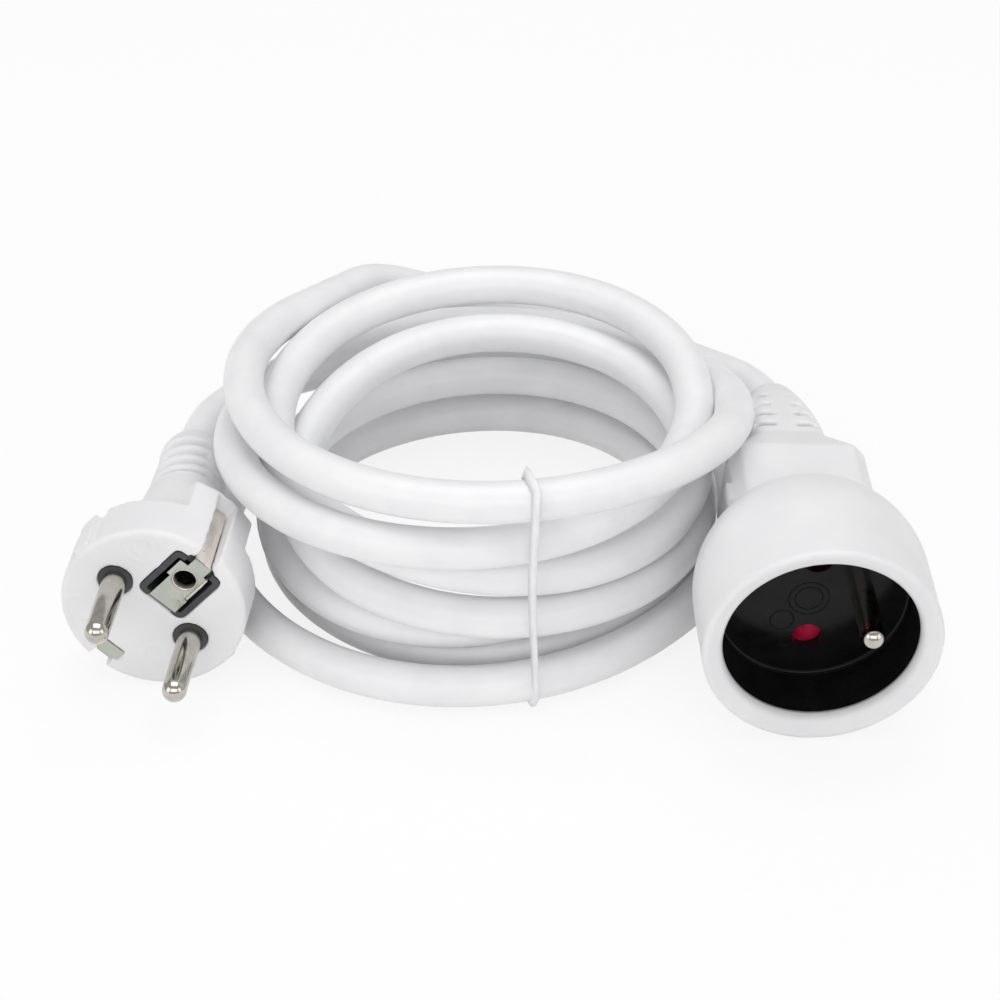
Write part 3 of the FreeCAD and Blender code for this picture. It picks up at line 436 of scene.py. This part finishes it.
# %% Fold the earth clip
SHEET = 0.6
PROUD = 0.05
UNDER = PROUD - SHEET
STRIP = 1.8
EDGE = 15.6
BACK = -18.3
HOLE = Vector((-0.0001, 0.0101, 0))
HOLE_RADIUS = 0.00255
CLIP_BLOCKS = [
    # the plate over the window, in four steps
    (-2.85, 3.45, 2.6, 6.4, UNDER, PROUD),
    (-2.85, 2.7, 6.2, 9.2, UNDER, PROUD),
    (-3.65, 2.7, 9.0, 13.2, UNDER, PROUD),
    (-STRIP, 2.1, 13.0, EDGE, UNDER, PROUD),
    # the strip down one groove, across the back and up the other
    (-STRIP, STRIP, EDGE - SHEET, EDGE, BACK, PROUD),
    (-STRIP, STRIP, -EDGE, 15.4, BACK, BACK + SHEET),
    (-STRIP, STRIP, -EDGE, SHEET - EDGE, BACK, PROUD),
    # the foot in its seat, and its neck
    (*FOOT_X, *FOOT_Y, UNDER, PROUD),
    (-STRIP, STRIP, -EDGE, -14.8, UNDER, PROUD),
]

clip = block(*CLIP_BLOCKS[0])
for limits in CLIP_BLOCKS[1:]:
    combine(clip, block(*limits), "UNION")
bpy.ops.mesh.primitive_cylinder_add(vertices=72, radius=HOLE_RADIUS, depth=0.004, location=HOLE)
combine(clip, bpy.context.object, "DIFFERENCE")
edge = clip.modifiers.new("plated_edge", "BEVEL")
edge.width = 0.00009
edge.segments = 2
edge.limit_method = "ANGLE"
apply_all(clip)
bpy.ops.object.shade_smooth_by_angle(angle=math.radians(35))
clip.name = "folded_earth_clip"
print("earth clip:", len(clip.data.polygons), "faces")

# %% Find the strip in the grooves, and place the clip
STRIP_FROM = 0.0148
in_groove = [face.index for face in clip.data.polygons
             if abs(face.center.y) > STRIP_FROM and face.center.z < -SHEET / 1000]
clip.data.transform(PLUG)
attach(clip, "cord_set")
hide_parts("earth_clip")
print("of these,", len(in_groove), "lie in the grooves")

# %% Fold the blade beside the plate
BLADE = (2.85, 3.35, 6.5, 13.0, -3.6, -0.15)
blade = block(*BLADE)
fold = blade.modifiers.new("rolled_blade", "BEVEL")
fold.width = 0.0002
fold.segments = 4
apply_all(blade)
bpy.ops.object.shade_smooth()
blade.name = "clip_blade"
blade.data.transform(PLUG)
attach(blade, "cord_set")
print("blade:", len(blade.data.polygons), "faces")

# %% Turn the rim of the sleeve that shows in the punched hole
RIM = [(2.2, -1.6), (2.46, -1.6), (2.46, 0.02), (2.38, 0.08), (2.28, 0.02)]
rim = turned("sleeve_rim", RIM, PLUG @ Matrix.Translation(HOLE), steps=72)

# %% [markdown]
# The tie.
# It is a ribbon of clear white plastic with a stiff rib along its middle, as tape for
# tying up plants has. Its construction is a plain band round the front of the coil. The
# ribbon follows the outside of that band: a closed curve carries a ribbed profile, and a
# little sideways drift, a lean over the top and a slight twist keep it from looking like a
# hoop of steel. First the band's outline is read, as the outermost points of its section.

# %% Read the outline of the band
POINT_EVERY = 0.0015


def hull(points):
    """The outermost of these points in a plane, in order round it."""
    def half(row):
        kept = []
        for point in row:
            while len(kept) > 1 and ((kept[-1] - kept[-2]).cross(point - kept[-2])) <= 0:
                kept.pop()
            kept.append(point)
        return kept[:-1]
    row = sorted(points, key=lambda point: (point.x, point.y))
    return half(row) + half(row[::-1])


band = [vertex.co.copy() for vertex in nodes["cord_tie"].data.vertices]
band_x = sum(place.x for place in band) / len(band)
corners = hull([Vector((place.y, place.z)) for place in band])
ring = []
for here, there in zip(corners, corners[1:] + corners[:1]):
    count = max(1, round((there - here).length / POINT_EVERY))
    ring += [here.lerp(there, step / count) for step in range(count)]
middle = sum(ring, Vector((0, 0))) / len(ring)
front = min(depth for depth, height in ring)
top = max(height for depth, height in ring)
print("tie:", len(ring), "points round, top at", round(top * 1000, 1), "mm")

# %% Lay the ribbon's line
DRIFT = 0.0004
DRIFT_WAVE = 100
LEAN = 0.0022
LEAN_FROM = 0.0018
LEAN_RUN = 0.0075
SUNK = 0.00035
TWIST = 0.08
TWIST_WAVE = 90
TWIST_START = 0.6

ribbon_line = bpy.data.curves.new("ribbon_line", "CURVE")
ribbon_line.dimensions = "3D"
loop = ribbon_line.splines.new("NURBS")
loop.points.add(len(ring) - 1)
for control, spot in zip(loop.points, ring):
    depth, height = spot
    over = min(1.0, max(0.0, depth - front - LEAN_FROM) / LEAN_RUN)
    drift = DRIFT * math.cos(height * DRIFT_WAVE) - LEAN * over * (2 - over)
    inward = (middle - spot).normalized() * SUNK
    control.co = (band_x + drift, depth + inward.x, height + inward.y, 1)
    control.tilt = math.pi / 2 + TWIST * math.sin(height * TWIST_WAVE + TWIST_START)
loop.order_u = 3
loop.use_cyclic_u = True
print("ribbon line:", len(loop.points), "points")

# %% Give the ribbon its ribbed profile
RIBBON = [(-1.05, -0.08), (-1.0, 0.2), (-0.55, 0.12), (-0.3, 0.44), (0.0, 0.5), (0.3, 0.44),
          (0.55, 0.12), (1.0, 0.2), (1.05, -0.08), (0.0, -0.12)]
ABOVE_FLOOR = 0.00003

profile = bpy.data.curves.new("ribbon_profile", "CURVE")
outline = profile.splines.new("POLY")
outline.points.add(len(RIBBON) - 1)
for control, (across, out) in zip(outline.points, RIBBON):
    control.co = (across / 1000, out / 1000, 0, 1)
outline.use_cyclic_u = True
profile_object = bpy.data.objects.new("ribbon_profile", profile)
bpy.context.scene.collection.objects.link(profile_object)
ribbon_line.bevel_mode = "OBJECT"
ribbon_line.bevel_object = profile_object
ribbon = bpy.data.objects.new("ribbon_tie", ribbon_line)
bpy.context.scene.collection.objects.link(ribbon)
only(ribbon)
bpy.ops.object.convert(target="MESH")
bpy.data.objects.remove(profile_object)
for vertex in ribbon.data.vertices:
    vertex.co.z = max(vertex.co.z, ABOVE_FLOOR)
bpy.ops.object.shade_smooth()
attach(ribbon, "cord_set")
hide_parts("cord_tie")
print("ribbon:", len(ribbon.data.polygons), "faces")

# %% [markdown]
# Materials.
# Every finish here is a plastic or a metal that was moulded or plated, so none has a
# pattern, and yet none is quite even: its colour, its gloss and its height wander a little
# from place to place. Each wandering is soft noise whose patches have a real size in
# millimetres. One function turns the colours, written as they look on a screen, into the
# linear values that light is computed with, one adds a node with its settings and links,
# and one puts such a finish together from them.

# %% Helpers for materials


def linear(hex_colour):
    """A screen colour such as #ffffff as linear values."""
    channels = [int(hex_colour[i:i + 2], 16) / 255 for i in (1, 3, 5)]
    return (*[c / 12.92 if c <= 0.04045 else ((c + 0.055) / 1.055) ** 2.4 for c in channels], 1)


def add_node(tree, kind, values=None, links=None, **settings):
    """A node with its settings, the values of its sockets and the links into them."""
    made = tree.nodes.new(kind)
    for name, value in settings.items():
        setattr(made, name, value)
    for socket, value in (values or {}).items():
        made.inputs[socket].default_value = value
    for socket, source in (links or {}).items():
        tree.links.new(source, made.inputs[socket])
    return made


def new_material(name, **values):
    """A material, its nodes and its shader, with values set on the shader's own sockets."""
    material = bpy.data.materials.new(name)
    material.use_nodes = True
    shader = material.node_tree.nodes["Principled BSDF"]
    for socket, value in values.items():
        shader.inputs[socket.replace("_", " ")].default_value = value
    return material, material.node_tree, shader


# %% One uneven finish for all
NOISE_LOW = 0.35
NOISE_HIGH = 0.65


def uneven_finish(name, colours, patch_mm, gloss=None, gloss_mm=None, grain=None, **values):
    """Wanders between two colours and two roughnesses; grain is its size and height in mm."""
    material, tree, shader = new_material(name, **values)
    where = add_node(tree, "ShaderNodeTexCoord").outputs["Object"]

    def patches(size_mm):
        return add_node(tree, "ShaderNodeTexNoise", {"Scale": 1000 / size_mm, "Detail": 3.0},
                        {"Vector": where}).outputs["Fac"]

    def between(low, high, size_mm):
        limits = {"From Min": NOISE_LOW, "From Max": NOISE_HIGH, "To Min": low, "To Max": high}
        return add_node(tree, "ShaderNodeMapRange", limits,
                        {"Value": patches(size_mm)}).outputs["Result"]

    colour = add_node(tree, "ShaderNodeMix", links={"Factor": between(0, 1, patch_mm)},
                      data_type="RGBA")
    colour.inputs["A"].default_value = linear(colours[0])
    colour.inputs["B"].default_value = linear(colours[1])
    tree.links.new(colour.outputs["Result"], shader.inputs["Base Color"])
    if gloss:
        tree.links.new(between(*gloss, gloss_mm), shader.inputs["Roughness"])
    if grain:
        size_mm, height_mm = grain
        bump = add_node(tree, "ShaderNodeBump", {"Distance": height_mm / 1000, "Strength": 1.0},
                        {"Height": patches(size_mm)})
        tree.links.new(bump.outputs["Normal"], shader.inputs["Normal"])
    return material


def finish_with(material, pieces):
    """Gives pieces, or CAD nodes by their names, one material."""
    for piece in pieces:
        data = nodes[piece].data if isinstance(piece, str) else piece.data
        data.materials.clear()
        data.materials.append(material)
    print(material.name, "on", len(pieces), "pieces")


# %% [markdown]
# White PVC of the cord.
# The jacket is soft PVC, drawn through a die round the three cores. The die leaves it a
# satin gloss with long soft highlights, and the cores under it press through as a barely
# visible unevenness of a few millimetres, which keeps the tube from looking like paint.

# %% White PVC of the cord
cord_white = uneven_finish("soft_pvc_cord_white", ("#ececee", "#f1f1f2"), patch_mm=9,
                           gloss=(0.30, 0.42), gloss_mm=4, grain=(2.2, 0.06), IOR=1.53)
finish_with(cord_white, [cord])

# %% [markdown]
# White moulded PVC of the covers.
# The covers are shot in an eroded steel mould, whose fine grain makes them a little more
# matt than the cord. The grain itself is under a tenth of a millimetre and would not show,
# so it is drawn half a millimetre wide and very low.

# %% White moulded PVC of the covers
cover_white = uneven_finish("moulded_pvc_white", ("#e7e6e8", "#ebebec"), patch_mm=12,
                            gloss=(0.38, 0.48), gloss_mm=1.2, grain=(0.5, 0.012), IOR=1.52)
finish_with(cover_white, [soft_plug_cover, soft_socket_cover, lip_bead])

# %% [markdown]
# Black and dark plastics.
# The liner is black ABS from a polished mould. It shows almost no colour of its own, only
# what it mirrors, and its depth takes even that, so its specular level is low. The plug's
# inner frame is glass-filled nylon, which is dark grey and dull beside it.

# %% Black and dark plastics
insert_black = uneven_finish("glossy_abs_black", ("#0f0f10", "#161617"), patch_mm=6,
                             gloss=(0.12, 0.22), gloss_mm=2, IOR=1.54, Specular_IOR_Level=0.14)
finish_with(insert_black, ["socket_insert", "insert_floor", "insert_back", liner_corner, *floor_rings])
bridge_grey = uneven_finish("nylon_dark_grey", ("#37383b", "#414246"), patch_mm=3,
                            gloss=(0.42, 0.55), gloss_mm=0.8, IOR=1.53)
finish_with(bridge_grey, ["plug_bridge"])

# %% [markdown]
# Nickel on the pins and on the sheet.
# The pins are turned brass, plated with bright nickel, which is a little warmer than chrome
# and mirrors the room in long streaks. The clip is plated sheet, as it comes from the
# roll: duller and greenish grey. Its strip in the grooves, its blade and the sleeve's rim are
# near-white instead, a painted highlight: the white walls beside them fill them with light.

# %% Nickel on the pins and on the sheet
nickel = uneven_finish("nickel_plated_pin", ("#bdb8b0", "#ccc8c1"), patch_mm=2,
                       gloss=(0.09, 0.2), gloss_mm=0.7, Metallic=1.0)
finish_with(nickel, ["plug_pin_live", "plug_pin_neutral", "socket_earth_pin"])
sheet_nickel = uneven_finish("nickel_plated_sheet", ("#b6bab0", "#c0c3ba"), patch_mm=6,
                             gloss=(0.24, 0.30), gloss_mm=3, Metallic=1.0)
finish_with(sheet_nickel, [clip, "earth_sleeve", "shutter_spring"])
# Painted highlight: this near-white nickel stands for the light of the white walls beside the blade,
# the sleeve's rim and the strip in the grooves.
highlight_painted_nickel = uneven_finish("nickel_strip_painted_highlight", ("#ece2da", "#f2ebe4"), patch_mm=8,
                              gloss=(0.27, 0.34), gloss_mm=4, Metallic=0.7)
finish_with(highlight_painted_nickel, [blade, rim])
# The strip in the grooves takes the painted highlight as its second material.
clip.data.materials.append(highlight_painted_nickel)
for index in in_groove:
    clip.data.polygons[index].material_index = 1

# %% [markdown]
# Brass contacts, red shutter, cores and tie.
# The contacts are bare rolled brass, yellow and satin. The shutter is acetal, a slippery
# plastic that is coloured through and slightly waxy. The cores have thin PVC in the three
# colours of mains wiring, and the tie is clear polyethylene, so thin that it looks white.

# %% Brass, acetal, core PVC and polyethylene
brass = uneven_finish("brass_contact", ("#b8924a", "#c29d55"), patch_mm=2, Metallic=1.0, Roughness=0.3)
finish_with(brass, ["contact_live", "contact_neutral"])
shutter_red = uneven_finish("acetal_red", ("#b0143c", "#c41c48"), patch_mm=2, Roughness=0.3, IOR=1.48)
finish_with(shutter_red, ["shutter"])
for colour, low, high in (("brown", "#4a2a17", "#56331e"), ("blue", "#1c4fa0", "#2459ab"),
                          ("earth", "#6f9a1e", "#7ba727")):
    core = uneven_finish("pvc_core_" + colour, (low, high), patch_mm=1, Roughness=0.4)
    finish_with(core, ["plug_core_" + colour, "socket_core_" + colour])
tie_white = uneven_finish("polyethylene_tie_white", ("#eeeef0", "#f4f4f5"), patch_mm=3,
                          Roughness=0.35, IOR=1.5)
finish_with(tie_white, [ribbon])

# %% [markdown]
# The studio.
# A white sweep of paper, one broad softbox overhead, one in front above the camera, a
# fill on each side, and an even pale sky from the world. White paper photographs as light
# grey unless it is lit far more than the object is. Here the paper glows a little instead,
# but only for what the camera sees, straight, mirrored in metal or through glass, so that
# it looks white, throws no extra light on the object, and still takes its soft shadow.

# %% Floor
SHARE_OF_GLOW = 0.84
PAPER_SIZE = 16

bpy.ops.mesh.primitive_plane_add(size=PAPER_SIZE)
floor = bpy.context.object
floor.name = "floor"
paper, tree, shader = new_material("floor_paper", Roughness=0.9)
shader.inputs["Base Color"].default_value = linear("#f6f6f6")
rays = add_node(tree, "ShaderNodeLightPath").outputs
seen = rays["Is Camera Ray"]
for also in ("Is Glossy Ray", "Is Transmission Ray"):
    seen = add_node(tree, "ShaderNodeMath", operation="MAXIMUM",
                    links={0: seen, 1: rays[also]}).outputs["Value"]
share = add_node(tree, "ShaderNodeMath", {1: SHARE_OF_GLOW}, {0: seen}, operation="MULTIPLY")
glow = add_node(tree, "ShaderNodeEmission", {"Strength": 1.0})
both = add_node(tree, "ShaderNodeMixShader", links={
    0: share.outputs["Value"], 1: shader.outputs["BSDF"], 2: glow.outputs["Emission"]})
tree.links.new(both.outputs["Shader"], tree.nodes["Material Output"].inputs["Surface"])
floor.data.materials.append(paper)
print("paper glows by", SHARE_OF_GLOW)

# %% Lights
AIM = Vector((0, 0.01, 0.02))


def softbox(name, place, size, power):
    """A rectangular lamp of a size in metres and a power in watts, aimed at the coil."""
    lamp = bpy.data.lights.new(name, "AREA")
    lamp.shape = "RECTANGLE"
    lamp.size, lamp.size_y = size
    lamp.energy = power
    made = bpy.data.objects.new(name, lamp)
    made.location = place
    made.rotation_euler = (AIM - Vector(place)).to_track_quat("-Z", "Y").to_euler()
    bpy.context.scene.collection.objects.link(made)
    print(name, power, "W")


softbox("top_light", (0, 0.1, 0.9), (0.9, 0.7), 3.7)
softbox("front_light", (0, -0.9, 0.6), (1.2, 0.5), 2.8)
softbox("left_light", (-0.8, -0.5, 0.4), (0.5, 0.6), 1.3)
softbox("right_light", (0.8, -0.5, 0.4), (0.5, 0.6), 1.1)

# %% Sky
SKY_LIGHT = 0.45

world = bpy.data.worlds.new("studio")
bpy.context.scene.world = world
world.use_nodes = True
sky = world.node_tree.nodes["Background"]
sky.inputs["Color"].default_value = (1, 1, 1, 1)
sky.inputs["Strength"].default_value = SKY_LIGHT
bpy.context.scene.view_settings.view_transform = "Standard"
print("sky:", SKY_LIGHT)

# %% Update the scene
bpy.context.view_layer.update()
